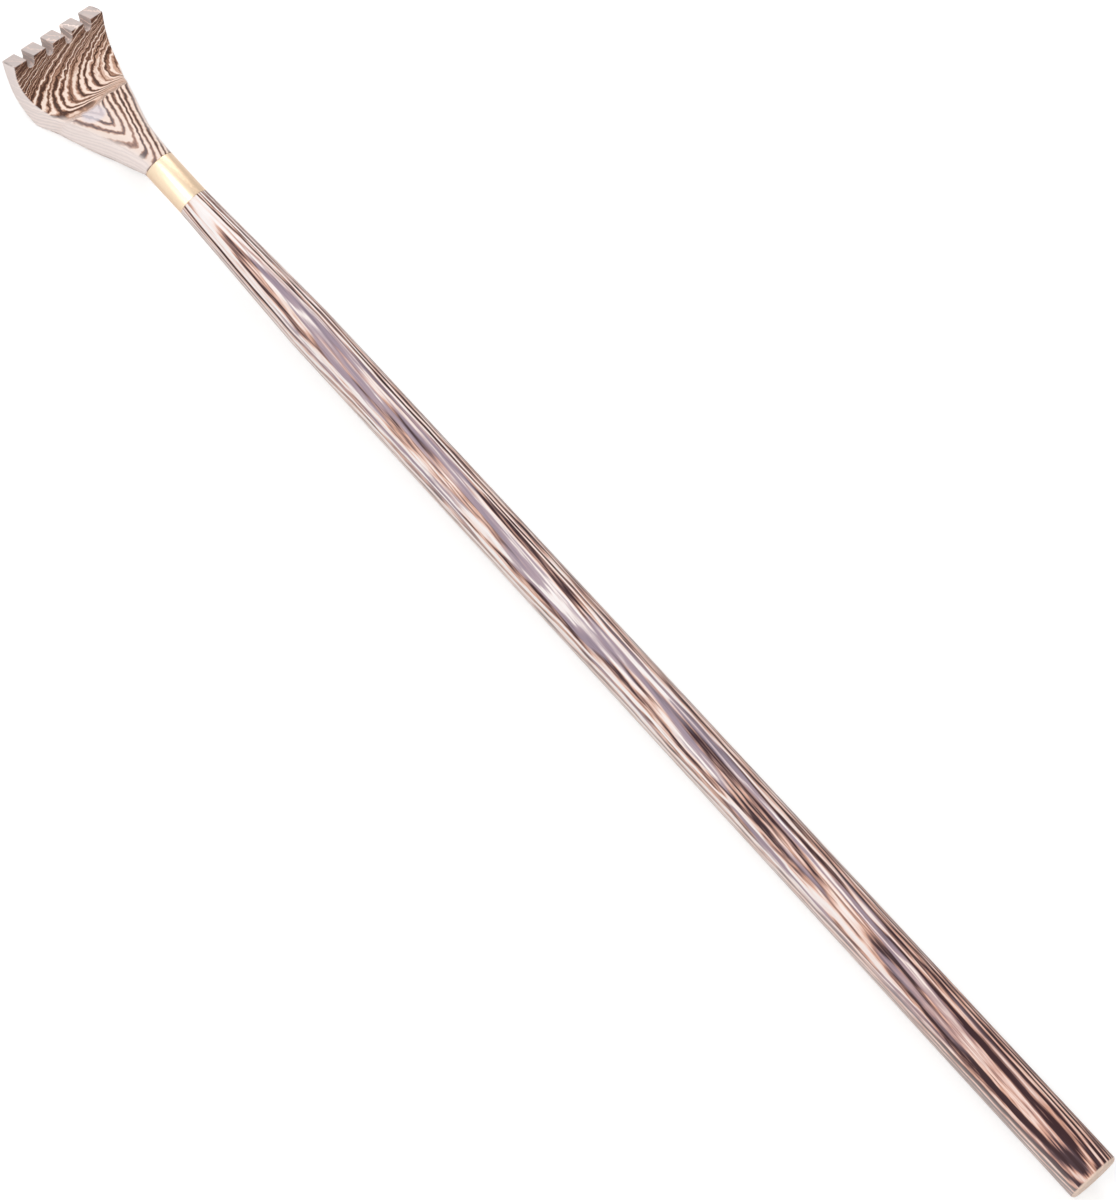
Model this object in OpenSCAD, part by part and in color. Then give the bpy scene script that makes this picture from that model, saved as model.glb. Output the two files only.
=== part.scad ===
// Wooden back scratcher: a turned handle, a metal ferrule and a carved, toothed head.
// The handle lies along +X with its butt face at the origin. The teeth point up, along +Z.
// The head dips a little below the handle, so the part lies on its head and its butt.

/* [Handle] */
// Diameter of the round handle at its butt
butt_d = 16; // [14.5:0.5:22]
// Length of the handle from its butt face to the ferrule
handle_len = 372; // [220:2:560]
// Diameter at the shoulder, where the long slight taper ends and the short one starts
shoulder_d = 13.4; // [11.4:0.1:14.2]
// Length of the short taper that leads down to the ferrule
taper_len = 49; // [30:1:100]
// Radius of the rounded rim round the butt face
butt_round = 1.2; // [0.4:0.1:2.5]

/* [Ferrule] */
// Outside diameter of the tube, flush with the wood at both of its ends
ferrule_d = 9.6; // [8.4:0.2:11]
// Length of the tube
ferrule_len = 15; // [12:1:30]
// Wall thickness of the tube
ferrule_wall = 0.7; // [0.5:0.1:1.2]
// Size of the broken outer edge at both ends of the tube
ferrule_edge = 0.2; // [0.1:0.05:0.4]
// Gap for glue all round the wooden ends inside the tube
glue_gap = 0.05; // [0.02:0.01:0.15]
// Gap between the two wooden ends inside the tube
end_gap = 0.4; // [0.2:0.1:2]
// Chamfer on the hidden end of the handle's spigot and of the head's tenon
spigot_edge = 0.6; // [0.2:0.1:1.2]

/* [Head] */
// Width across the row of teeth
head_w = 34.4; // [26:0.2:42]
// Thickness of the palm at the lowest line of the scoop
palm_t = 8.3; // [6.6:0.1:10]
// Thickness at the ends of the teeth
tooth_t = 5.6; // [4.2:0.2:7]
// Length of the round neck beyond the ferrule
neck_len = 0.5; // [0.5:0.5:12]
// Depth of the head's underside below the handle's line
head_low = 10.6; // [8.4:0.2:12.4]
// Distance along the handle's line from the neck to where the underside runs level
belly_reach = 17; // [12:1:26]
// Distance along the handle's line from the neck to the edge of the scoop
scoop_reach = 26; // [21:0.5:40]
// Largest radius of the bend where the palm turns down from the neck
dip_r = 45; // [25:1:70]
// Angle at which the scoop drops from its edge
scoop_in = 36; // [16:1:44]
// Radius of the scoop, which runs from its edge up to the teeth
scoop_r = 11.8; // [9:0.2:15]
// Angle between the front of the teeth and the handle's line
tooth_angle = 58; // [50:1:70]
// Straight length of the front of the teeth, beyond the scoop
tip_len = 3.2; // [2:0.2:8]
// Angle between the back of the head and the handle's line
back_angle = 49; // [44:1:64]
// Size of the rounding between the underside and the back of the head
back_round = 8; // [3:0.2:10]
// Rounding of the palm's long edges where they reach the scoop
palm_round = 3; // [1.5:0.1:3.6]
// Rounding of the long edges at the turned-up end
edge_round = 0.6; // [0.5:0.1:1.2]

/* [Teeth] */
// Number of teeth
tooth_count = 5; // [3:1:7]
// Width of each slot between two teeth
slot_w = 2.5; // [1.5:0.1:3.2]
// Depth of each slot, with its round bottom
slot_depth = 3.2; // [2:0.1:5]
// Rounding round the end of the row of teeth
tooth_round = 0.4; // [0.2:0.05:0.45]

/* [Hidden] */

// Colours of the wood and of the metal
WOOD = [0.62, 0.45, 0.36];
BRASS = [0.90, 0.78, 0.52];
// Smoothness of turned faces
$fn = 96;
// Steps along the palm, down and up the scoop and along the teeth, and steps round each corner of the section
PALM_STEPS = 20;
DOWN_STEPS = 10;
UP_STEPS = 28;
TIP_STEPS = 4;
CORNER_STEPS = 7;
END_STEPS = 3;
// Share of the half thickness that rounds the neck's section, which makes it all but a circle
NECK_ROUND = 0.97;
// How straight the flaring sides are: 0 is a full S curve and 1 a straight line
SIDE_STRAIGHT = 0.1;
// Least height by which the scoop's edge lies below the top of the neck
LEAST_DROP = 0.5;
// Share of the palm's length that the bend down from the neck may take
MOST_DIP = 0.8;
// Depth that no section of the head reaches, used where a section all but runs along the back
FAR = 1000;
LEAST_FACING = 0.05;
// Amount by which joined or cutting solids run past each other
LAP = 1;

// Joint inside the tube
spigot_d = ferrule_d - 2 * (ferrule_wall + glue_gap);
spigot_len = (ferrule_len - end_gap) / 2;
head_x = handle_len + ferrule_len;

// Front line of the head: neck, bend down, straight palm, scoop with a crisp edge, straight end.
// Behind it lie the level underside and the sloping back.
edge_z = palm_t - head_low + scoop_r * (1 - cos(scoop_in));
drop = max(LEAST_DROP, ferrule_d / 2 - edge_z);
down_r = min(dip_r, MOST_DIP * (scoop_reach * scoop_reach + drop * drop) / (2 * drop));
to_edge = norm([scoop_reach, down_r - drop]);
fall = atan2(scoop_reach, down_r - drop) - acos(down_r / to_edge);
s_neck = neck_len;
s_dip = s_neck + arc(down_r, fall);
s_edge = s_dip + sqrt(to_edge * to_edge - down_r * down_r);
s_low = s_edge + arc(scoop_r, scoop_in);
s_bend = s_low + arc(scoop_r, tooth_angle);
s_end = s_bend + tip_len;

// Length of an arc of radius r over an angle in degrees
function arc(r, angle) = r * angle * PI / 180;
// Straight blend from a to b
function mix(a, b, t) = a + (b - a) * t;
// Share of the way from s0 to s1, eased at both ends
function ease(s, s0, s1) = let (t = max(0, min(1, (s - s0) / (s1 - s0)))) t * t * (3 - 2 * t);
// Point on an arc whose direction turns from one angle to another, from the point where it starts
function along_arc(p, r, from, to) = p + r * [sin(to) - sin(from), cos(from) - cos(to)];
// Point on a straight line
function along_line(p, angle, len) = p + len * [cos(angle), sin(angle)];

// Direction of the front line, in degrees above the handle's line
function slope(s) =
    s < s_neck ? 0 :
    s < s_dip ? -fall * (s - s_neck) / (s_dip - s_neck) :
    s < s_edge ? -fall :
    s < s_bend ? mix(-scoop_in, tooth_angle, (s - s_edge) / (s_bend - s_edge)) :
    tooth_angle;
// Lean of the section: upright as far as the lowest line of the scoop, then square to the front line
function lean(s) = s < s_low ? 0 : slope(s);

// Corner points of the front line, and any point of it, as [x, z]
p_neck = [s_neck, ferrule_d / 2];
p_dip = along_arc(p_neck, -down_r, 0, -fall);
p_edge = along_line(p_dip, -fall, s_edge - s_dip);
p_bend = along_arc(p_edge, scoop_r, -scoop_in, tooth_angle);
function front(s) =
    s < s_neck ? [s, ferrule_d / 2] :
    s < s_dip ? along_arc(p_neck, -down_r, 0, slope(s)) :
    s < s_edge ? along_line(p_dip, -fall, s - s_dip) :
    s < s_bend ? along_arc(p_edge, scoop_r, -scoop_in, slope(s)) :
    along_line(p_bend, tooth_angle, s - s_bend);

// Back end of the teeth, and depth of the underside below the handle's line
back_tip = front(s_end) + tooth_t * [sin(tooth_angle), -cos(tooth_angle)];
function under(s) = let (t = max(0, min(1, (s - s_neck) / belly_reach))) mix(ferrule_d / 2, head_low, t * (2 - t));
// Smaller of two depths, with a soft change from one to the other
function soft_min(a, b, k) = let (h = max(k - abs(a - b), 0) / k) min(a, b) - h * h * k / 4;
// Depth of the wood behind the front line, as far as the underside or the back
function depth(s) =
    let (
        p = front(s),
        a = lean(s),
        to_under = (p[1] + under(s)) / cos(a),
        to_tip = back_tip - p,
        facing = cos(a - back_angle),
        to_back = facing < LEAST_FACING ? FAR : (to_tip[0] * sin(back_angle) - to_tip[1] * cos(back_angle)) / facing
    )
    soft_min(to_under, to_back, back_round);

// Share of the flare reached at a point: nearly straight sides, softened at both ends
function flare(s) = mix(ease(s, s_neck, s_bend), max(0, min(1, (s - s_neck) / (s_bend - s_neck))), SIDE_STRAIGHT);
// Half width, half thickness and corner radius of the section
function half_w(s) = mix(ferrule_d, head_w, flare(s)) / 2;
function half_t(s) = depth(s) / 2;
function corner(s) =
    s < s_edge ? mix(NECK_ROUND * min(half_w(s), half_t(s)), palm_round, ease(s, s_neck, s_edge)) :
    mix(palm_round, edge_round, ease(s, s_edge, s_low));

// One closed section of the head, drawn in by an inset
function section(s, inset) =
    let (
        p = front(s),
        a = lean(s),
        r = corner(s) - inset,
        y0 = half_w(s) - corner(s),
        n0 = half_t(s) - corner(s)
    )
    [for (q = [0:3], k = [0:CORNER_STEPS])
        let (
            v = 90 * (q + k / CORNER_STEPS),
            y = (q == 0 || q == 3 ? y0 : -y0) + r * cos(v),
            n = (q < 2 ? n0 : -n0) + r * sin(v) - half_t(s)
        )
        [p[0] - n * sin(a), y, p[1] + n * cos(a)]];

// Stations along the head as [distance, inset], with a rounded end
stations = concat(
    [for (i = [0:PALM_STEPS]) [mix(0, s_edge, i / PALM_STEPS), 0]],
    [for (i = [1:DOWN_STEPS]) [mix(s_edge, s_low, i / DOWN_STEPS), 0]],
    [for (i = [1:UP_STEPS]) [mix(s_low, s_bend, i / UP_STEPS), 0]],
    [for (i = [1:TIP_STEPS]) [mix(s_bend, s_end - tooth_round, i / TIP_STEPS), 0]],
    [for (k = [1:END_STEPS])
        let (v = 90 * k / END_STEPS)
        [s_end - tooth_round * (1 - sin(v)), tooth_round * (1 - cos(v))]]);

// Solid skin over all the sections
module head_skin() {
    rings = [for (st = stations) section(st[0], st[1])];
    count = len(rings[0]);
    last = len(rings) - 1;
    sides = [for (i = [0:last - 1], j = [0:count - 1])
        let (
            a = i * count + j,
            b = i * count + (j + 1) % count
        )
        each [[a, a + count, b + count], [a, b + count, b]]];
    caps = [for (j = [1:count - 2])
        each [[0, j, j + 1], [last * count, last * count + j + 1, last * count + j]]];
    polyhedron(points = [for (ring = rings, p = ring) p], faces = concat(sides, caps));
}

// Slot with a round bottom, cut in from the end of the teeth
module slot() {
    translate([slot_w / 2 - slot_depth, 0, 0]) {
        cylinder(d = slot_w, h = tooth_t + palm_t, center = true);
        translate([0, -slot_w / 2, -(tooth_t + palm_t) / 2])
            cube([slot_depth + LAP, slot_w, tooth_t + palm_t]);
    }
}

// Every slot, evenly shared over the width of the head
module slots() {
    tooth_w = (head_w - (tooth_count - 1) * slot_w) / tooth_count;
    tip = (front(s_end) + back_tip) / 2;
    translate([tip[0], 0, tip[1]])
        rotate([0, -tooth_angle, 0])
            for (i = [1:tooth_count - 1])
                translate([0, i * (tooth_w + slot_w) - slot_w / 2 - head_w / 2, 0])
                    slot();
}

// Round wooden end that goes into the tube, from its shoulder along +X
module spigot() {
    rotate([0, 90, 0])
        rotate_extrude()
            polygon([
                [0, -LAP],
                [spigot_d / 2, -LAP],
                [spigot_d / 2, spigot_len - spigot_edge],
                [spigot_d / 2 - spigot_edge, spigot_len],
                [0, spigot_len]]);
}

// Carved head with its teeth and its tenon
module scratcher_head() {
    color(WOOD)
        translate([head_x, 0, 0])
            difference() {
                union() {
                    head_skin();
                    mirror([1, 0, 0]) spigot();
                }
                slots();
            }
}

// Metal tube that holds the head and the handle together
module ferrule() {
    bore_r = ferrule_d / 2 - ferrule_wall;
    color(BRASS)
        translate([handle_len, 0, 0])
            rotate([0, 90, 0])
                rotate_extrude()
                    polygon([
                        [bore_r, 0],
                        [ferrule_d / 2 - ferrule_edge, 0],
                        [ferrule_d / 2, ferrule_edge],
                        [ferrule_d / 2, ferrule_len - ferrule_edge],
                        [ferrule_d / 2 - ferrule_edge, ferrule_len],
                        [bore_r, ferrule_len]]);
}

// Outline of the handle from its butt face to the shoulder at the ferrule, as [radius, length]
module handle_outline() {
    rim_r = butt_d / 2 - butt_round;
    polygon([
        [0, 0],
        [rim_r, 0],
        [rim_r, butt_round],
        [butt_d / 2, butt_round],
        [shoulder_d / 2, handle_len - taper_len],
        [ferrule_d / 2, handle_len],
        [0, handle_len]]);
    translate([rim_r, butt_round]) circle(r = butt_round);
}

// Turned handle with its spigot
module handle() {
    color(WOOD) {
        rotate([0, 90, 0]) rotate_extrude() handle_outline();
        translate([handle_len, 0, 0]) spigot();
    }
}

scratcher_head();
ferrule();
handle();
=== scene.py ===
"""Wooden back scratcher: a turned handle, a brass ferrule and a carved, toothed head."""

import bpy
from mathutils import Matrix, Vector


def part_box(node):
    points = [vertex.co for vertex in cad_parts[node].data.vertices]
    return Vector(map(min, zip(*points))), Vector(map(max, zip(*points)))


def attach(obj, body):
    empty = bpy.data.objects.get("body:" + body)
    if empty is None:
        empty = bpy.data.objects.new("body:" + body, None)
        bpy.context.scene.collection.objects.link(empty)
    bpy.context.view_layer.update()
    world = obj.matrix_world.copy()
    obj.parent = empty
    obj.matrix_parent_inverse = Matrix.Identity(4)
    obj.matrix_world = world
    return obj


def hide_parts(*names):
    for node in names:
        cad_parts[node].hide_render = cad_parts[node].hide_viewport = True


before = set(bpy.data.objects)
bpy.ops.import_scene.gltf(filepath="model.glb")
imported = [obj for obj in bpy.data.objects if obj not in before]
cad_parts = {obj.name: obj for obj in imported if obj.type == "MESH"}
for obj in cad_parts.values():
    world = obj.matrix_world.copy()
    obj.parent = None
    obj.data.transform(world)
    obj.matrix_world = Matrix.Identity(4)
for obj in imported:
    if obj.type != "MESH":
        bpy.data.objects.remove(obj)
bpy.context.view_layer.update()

import math

import bmesh
import bpy
from bpy.props import FloatProperty, FloatVectorProperty, IntProperty, PointerProperty
from mathutils import Matrix, Vector

bl_info = {
    "name": "Wooden Back Scratcher",
    "version": (1, 0, 0),
    "blender": (4, 5, 0),
    "location": "3D View > Sidebar > Scratcher",
    "description": "Builds a wooden back scratcher with a brass ferrule and a toothed head",
    "category": "Add Mesh",
}

HEAD_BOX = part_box("scratcher_head")
FERRULE_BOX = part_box("ferrule")
HANDLE_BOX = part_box("handle")
MM = 0.001
# The grain's numbers are in millimetres
TO_MM = 1000.0
# Points closer than this are one point
WELD = 1e-7
# Steps of a full turn on the handle and the ferrule
TURN_STEPS = 96
# Edges sharper than the first angle are broken, those flatter than the second are shaded smooth
SHARP_ANGLE = math.radians(50.0)
SMOOTH_ANGLE = math.radians(24.0)
# The handle's flames lie this far round from its top to the left
FLAME_TURN = math.radians(36.0)
# Depth of the pores in the wood and of the turning marks in the brass
PORE_DEPTH = 0.05 * MM
MARK_DEPTH = 0.02 * MM


def length_value(name, description, default):
    """A size in metres that a user may change."""
    return FloatProperty(name=name, description=description, default=default, min=0.0,
                         unit="LENGTH", precision=5)


def angle_value(name, description, degrees):
    """An angle that a user may change."""
    return FloatProperty(name=name, description=description, default=math.radians(degrees),
                         subtype="ANGLE")


def colour_value(name, description, default):
    """A colour that a user may change, in linear light."""
    return FloatVectorProperty(name=name, description=description, default=default, size=3,
                               min=0.0, max=1.0, subtype="COLOR")


def share_value(name, description, default):
    """A share from 0 to 1 that a user may change."""
    return FloatProperty(name=name, description=description, default=default, min=0.0, max=1.0,
                         subtype="FACTOR")


def power_value(name, description, watts):
    """The power of a lamp that a user may change."""
    return FloatProperty(name=name, description=description, default=watts, min=0.0, unit="POWER")


class HeadSizes(bpy.types.PropertyGroup):
    """Sizes of the carved head."""

    head_w: length_value("Width", "Width across the row of teeth", HEAD_BOX[1].y - HEAD_BOX[0].y)
    palm_t: length_value("Palm thickness", "Thickness at the lowest line of the scoop", 8.3 * MM)
    tooth_t: length_value("Tooth thickness", "Thickness at the ends of the teeth", 5.6 * MM)
    neck_len: length_value("Neck length", "Length of the round neck beyond the ferrule", 0.5 * MM)
    head_low: length_value("Underside depth", "Depth of the underside below the handle's line",
                           -HEAD_BOX[0].z)
    belly_reach: length_value("Belly reach", "Distance from the neck to where the underside runs level",
                              17 * MM)
    scoop_reach: length_value("Scoop reach", "Distance from the neck to the edge of the scoop", 26 * MM)
    dip_r: length_value("Dip radius", "Radius of the bend where the palm turns down from the neck",
                        45 * MM)
    scoop_in: angle_value("Scoop drop", "Angle at which the scoop drops from its edge", 36)
    scoop_r: length_value("Scoop radius", "Radius of the scoop", 11.8 * MM)
    tooth_angle: angle_value("Tooth angle", "Angle between the front of the teeth and the handle's line",
                             58)
    tip_len: length_value("Tooth end", "Straight length of the front of the teeth", 3.2 * MM)
    back_angle: angle_value("Back angle", "Angle between the back of the head and the handle's line", 49)
    back_round: length_value("Back rounding", "Size of the rounding between underside and back", 8 * MM)
    palm_round: length_value("Palm rounding", "Rounding of the palm's long edges at the scoop", 3 * MM)
    edge_round: length_value("Edge rounding", "Rounding of the long edges at the turned-up end", 0.6 * MM)
    tooth_count: IntProperty(name="Teeth", description="Number of teeth", default=5, min=3, max=7)
    slot_w: length_value("Slot width", "Width of each slot between two teeth", 2.5 * MM)
    slot_depth: length_value("Slot depth", "Depth of each slot with its round bottom", 3.2 * MM)
    tooth_edge: length_value("Tooth edge", "Size of the broken edges round the teeth", 0.4 * MM)


class HandleSizes(bpy.types.PropertyGroup):
    """Sizes of the turned handle."""

    butt_d: length_value("Butt diameter", "Diameter at the butt", HANDLE_BOX[1].y - HANDLE_BOX[0].y)
    shoulder_d: length_value("Shoulder diameter", "Diameter where the short taper starts", 13.4 * MM)
    handle_len: length_value("Handle length", "Length from the butt face to the ferrule",
                             FERRULE_BOX[0].x)
    taper_len: length_value("Taper length", "Length of the short taper down to the ferrule", 49 * MM)
    butt_round: length_value("Butt rounding", "Radius of the rim round the butt face", 1.2 * MM)


class FerruleSizes(bpy.types.PropertyGroup):
    """Sizes of the brass tube and of the wooden ends inside it."""

    ferrule_d: length_value("Diameter", "Outside diameter of the tube",
                            FERRULE_BOX[1].y - FERRULE_BOX[0].y)
    ferrule_len: length_value("Length", "Length of the tube", FERRULE_BOX[1].x - FERRULE_BOX[0].x)
    wall: length_value("Wall", "Wall thickness of the tube", 0.7 * MM)
    edge: length_value("Edge", "Size of the broken outer edges", 0.2 * MM)
    glue_gap: length_value("Glue gap", "Gap for glue round the wooden ends", 0.05 * MM)
    end_gap: length_value("End gap", "Gap between the two wooden ends", 0.4 * MM)
    spigot_edge: length_value("End chamfer", "Chamfer on the hidden wooden ends", 0.6 * MM)


class WoodFinish(bpy.types.PropertyGroup):
    """Colours of the banded wood."""

    dark: colour_value("Dark line", "Darkest lines of the grain", (0.075, 0.033, 0.022))
    brown: colour_value("Brown band", "Brown beside the dark lines", (0.290, 0.145, 0.092))
    salmon: colour_value("Salmon band", "Warm bands between the lines", (0.620, 0.380, 0.275))
    cream: colour_value("Cream band", "Palest bands of the grain", (0.920, 0.750, 0.650))
    umber: colour_value("Umber line", "Cool dark lines of the handle", (0.046, 0.022, 0.027))
    russet: colour_value("Russet band", "Brown bands of the handle", (0.300, 0.175, 0.155))
    rose: colour_value("Rose band", "Warm flames of the handle", (0.690, 0.410, 0.310))
    mauve: colour_value("Mauve ribbon", "Cool ribbons along the handle", (0.375, 0.298, 0.362))
    pearl: colour_value("Pearl flame", "Pale flames of the handle", (0.900, 0.755, 0.700))
    glaze: colour_value("Warm glaze", "Warm tint of the wood towards the butt", (1.000, 0.850, 0.780))
    milk: colour_value("Milk white", "Whitest flames of the handle", (0.930, 0.875, 0.865))
    sheen: colour_value("Cool sheen", "Cool sheen over the palm", (0.720, 0.665, 0.720))
    sanded_and_lit: colour_value("Sanded wood", "Pale sanded side faces and tooth ends", (0.980, 0.870, 0.835))
    butt: colour_value("Butt face", "End grain on the butt face", (0.900, 0.700, 0.580))


class BrassFinish(bpy.types.PropertyGroup):
    """Colours of the ferrule."""

    brass: colour_value("Brass", "Colour of the satin brass", (0.780, 0.630, 0.460))
    wear_and_dim_brass: colour_value("Worn brass", "Handled brass away from the top", (0.690, 0.495, 0.350))
    painted_dark_flank: colour_value("Painted_dark_flank", "Dull brass along the right flank", (0.560, 0.420, 0.295))


class StageLook(bpy.types.PropertyGroup):
    """Floor and light."""

    floor: colour_value("Floor", "Colour of the floor", (0.550, 0.545, 0.540))
    floor_glow: share_value("Floor glow", "Share of white that the floor shows by itself", 0.60)
    fill: share_value("Fill light", "Strength of the light from all round", 0.40)
    softbox: power_value("Softbox", "Power of the softbox beyond the head", 7.0)
    panel: power_value("Panel", "Power of the panel above the handle", 9.5)
    side: power_value("Side light", "Power of the low soft light at the side", 3.5)
    butt: power_value("Butt light", "Power of the soft light at the butt", 3.5)


class ScratcherSettings(bpy.types.PropertyGroup):
    """All settings of the back scratcher."""

    head: PointerProperty(type=HeadSizes)
    handle: PointerProperty(type=HandleSizes)
    ferrule: PointerProperty(type=FerruleSizes)
    wood: PointerProperty(type=WoodFinish)
    brass: PointerProperty(type=BrassFinish)
    stage: PointerProperty(type=StageLook)


# Shapes

def blend(a, b, t):
    """Straight blend from a to b."""
    return a + (b - a) * t


def share(value, low, high):
    """Share of the way from low to high, held between 0 and 1."""
    return min(1.0, max(0.0, (value - low) / (high - low)))


def ease(value, low, high):
    """Share of the way from low to high, eased at both ends."""
    t = share(value, low, high)
    return t * t * (3.0 - 2.0 * t)


class HeadForm:
    """Front line, underside, back and sections of the carved head."""

    # Corner radius at the neck, as a share of the largest that fits
    NECK_ROUND = 0.97
    # Share of a straight line in the flare of the sides
    SIDE_STRAIGHT = 0.1
    # Least cosine at which a section still meets the back, and a depth that is never reached
    LEAST_FACING = 0.05
    FAR = 1.0

    def __init__(self, head, neck_r, head_x):
        self.head = head
        self.neck_r = neck_r
        self.head_x = head_x
        edge_z = head.palm_t - head.head_low + head.scoop_r * (1.0 - math.cos(head.scoop_in))
        drop = neck_r - edge_z
        to_edge = math.hypot(head.scoop_reach, head.dip_r - drop)
        self.fall = math.atan2(head.scoop_reach, head.dip_r - drop) - math.acos(head.dip_r / to_edge)
        self.s_neck = head.neck_len
        self.s_dip = self.s_neck + head.dip_r * self.fall
        self.s_edge = self.s_dip + math.sqrt(to_edge ** 2 - head.dip_r ** 2)
        self.s_low = self.s_edge + head.scoop_r * head.scoop_in
        self.s_bend = self.s_low + head.scoop_r * head.tooth_angle
        self.s_end = self.s_bend + head.tip_len
        self.p_neck = (self.s_neck, neck_r)
        self.p_dip = self.along_arc(self.p_neck, -head.dip_r, 0.0, -self.fall)
        self.p_edge = self.along_line(self.p_dip, -self.fall, self.s_edge - self.s_dip)
        self.p_bend = self.along_arc(self.p_edge, head.scoop_r, -head.scoop_in, head.tooth_angle)
        tip = self.front(self.s_end)
        across = (math.sin(head.tooth_angle), -math.cos(head.tooth_angle))
        self.back_tip = (tip[0] + head.tooth_t * across[0], tip[1] + head.tooth_t * across[1])

    @staticmethod
    def along_arc(start, radius, turn_from, turn_to):
        """Point on an arc whose direction turns from one angle to another."""
        x = start[0] + radius * (math.sin(turn_to) - math.sin(turn_from))
        z = start[1] + radius * (math.cos(turn_from) - math.cos(turn_to))
        return (x, z)

    @staticmethod
    def along_line(start, angle, length):
        """Point on a straight line."""
        return (start[0] + length * math.cos(angle), start[1] + length * math.sin(angle))

    def slope(self, s):
        """Direction of the front line above the handle's line."""
        head = self.head
        if s < self.s_neck:
            return 0.0
        if s < self.s_dip:
            return -self.fall * share(s, self.s_neck, self.s_dip)
        if s < self.s_edge:
            return -self.fall
        return blend(-head.scoop_in, head.tooth_angle, share(s, self.s_edge, self.s_bend))

    def lean(self, s):
        """Lean of the section: upright as far as the lowest line of the scoop."""
        return 0.0 if s < self.s_low else self.slope(s)

    def front(self, s):
        """Point of the front line as (x, z), from the end of the ferrule."""
        head = self.head
        if s < self.s_neck:
            return (s, self.neck_r)
        if s < self.s_dip:
            return self.along_arc(self.p_neck, -head.dip_r, 0.0, self.slope(s))
        if s < self.s_edge:
            return self.along_line(self.p_dip, -self.fall, s - self.s_dip)
        if s < self.s_bend:
            return self.along_arc(self.p_edge, head.scoop_r, -head.scoop_in, self.slope(s))
        return self.along_line(self.p_bend, head.tooth_angle, s - self.s_bend)

    def depth(self, s):
        """Depth of the wood behind the front line, as far as the underside or the back."""
        head = self.head
        x, z = self.front(s)
        lean = self.lean(s)
        t = share(s, self.s_neck, self.s_neck + head.belly_reach)
        to_under = (z + blend(self.neck_r, head.head_low, t * (2.0 - t))) / math.cos(lean)
        facing = math.cos(lean - head.back_angle)
        to_back = self.FAR
        if facing > self.LEAST_FACING:
            away = (self.back_tip[0] - x, self.back_tip[1] - z)
            to_back = away[0] * math.sin(head.back_angle) - away[1] * math.cos(head.back_angle)
            to_back /= facing
        soft = max(head.back_round - abs(to_under - to_back), 0.0) / head.back_round
        return min(to_under, to_back) - soft * soft * head.back_round / 4.0

    def half_width(self, s):
        """Half the width of the head."""
        t = share(s, self.s_neck, self.s_bend)
        flare = blend(ease(s, self.s_neck, self.s_bend), t, self.SIDE_STRAIGHT)
        return blend(self.neck_r, self.head.head_w / 2.0, flare)

    def corner(self, s):
        """Corner radius of the section: round at the neck, crisp at the teeth."""
        head = self.head
        if s < self.s_edge:
            round_r = self.NECK_ROUND * min(self.half_width(s), self.depth(s) / 2.0)
            return blend(round_r, head.palm_round, ease(s, self.s_neck, self.s_edge))
        return blend(head.palm_round, head.edge_round, ease(s, self.s_edge, self.s_low))

    def quarter(self, s):
        """Length of the outline from the middle of the front to the end of its corner."""
        r = self.corner(s)
        return self.half_width(s) - r + r * math.pi / 2.0

    def place(self, s, across, deep):
        """Point of a section: across runs from -1 to 1, deep from 0 at the front to 1 at the back."""
        r = self.corner(s)
        flat = self.half_width(s) - r
        half_t = self.depth(s) / 2.0
        run = abs(across) * self.quarter(s)
        y = run
        n = half_t
        if run > flat:
            turn = (run - flat) / r
            y = flat + r * math.sin(turn)
            n = half_t - r + r * math.cos(turn)
        n = n * (1.0 - 2.0 * deep) - half_t
        x, z = self.front(s)
        lean = self.lean(s)
        x = self.head_x + x - n * math.sin(lean)
        return Vector((x, math.copysign(y, across), z + n * math.cos(lean)))


def tooth_columns(form):
    """Places of the columns across a section, and whether each strip between two is a tooth."""
    head = form.head
    quarter = form.quarter(form.s_end)
    flat = form.half_width(form.s_end) - form.corner(form.s_end)
    tooth_w = (head.head_w - (head.tooth_count - 1) * head.slot_w) / head.tooth_count
    corner_steps = 6
    tooth_steps = 3
    places = [-1.0]
    is_tooth = []
    for step in range(1, corner_steps + 1):
        places.append(-blend(1.0, flat / quarter, step / corner_steps))
        is_tooth.append(True)
    for tooth in range(head.tooth_count):
        tooth_y = -head.head_w / 2.0 + tooth * (tooth_w + head.slot_w)
        start = max(-flat, tooth_y)
        end = min(flat, tooth_y + tooth_w)
        if tooth:
            places.append(start / quarter)
            is_tooth.append(False)
        for step in range(1, tooth_steps + 1):
            places.append(blend(start, end, step / tooth_steps) / quarter)
            is_tooth.append(True)
    for step in range(1, corner_steps + 1):
        places.append(blend(flat / quarter, 1.0, step / corner_steps))
        is_tooth.append(True)
    return places, is_tooth


def push_faces(bm, faces, keep=False):
    """Extrudes faces in place; the old faces stay only as an end. Returns the new faces and vertices."""
    made = bmesh.ops.extrude_face_region(bm, geom=faces)["geom"]
    new_faces = [item for item in made if isinstance(item, bmesh.types.BMFace)]
    new_verts = [item for item in made if isinstance(item, bmesh.types.BMVert)]
    if not keep:
        bmesh.ops.delete(bm, geom=faces, context="FACES")
    return new_faces, new_verts


def steps_between(start, end, count):
    """Evenly spaced values after start, up to end."""
    return [blend(start, end, step / count) for step in range(1, count + 1)]


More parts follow.
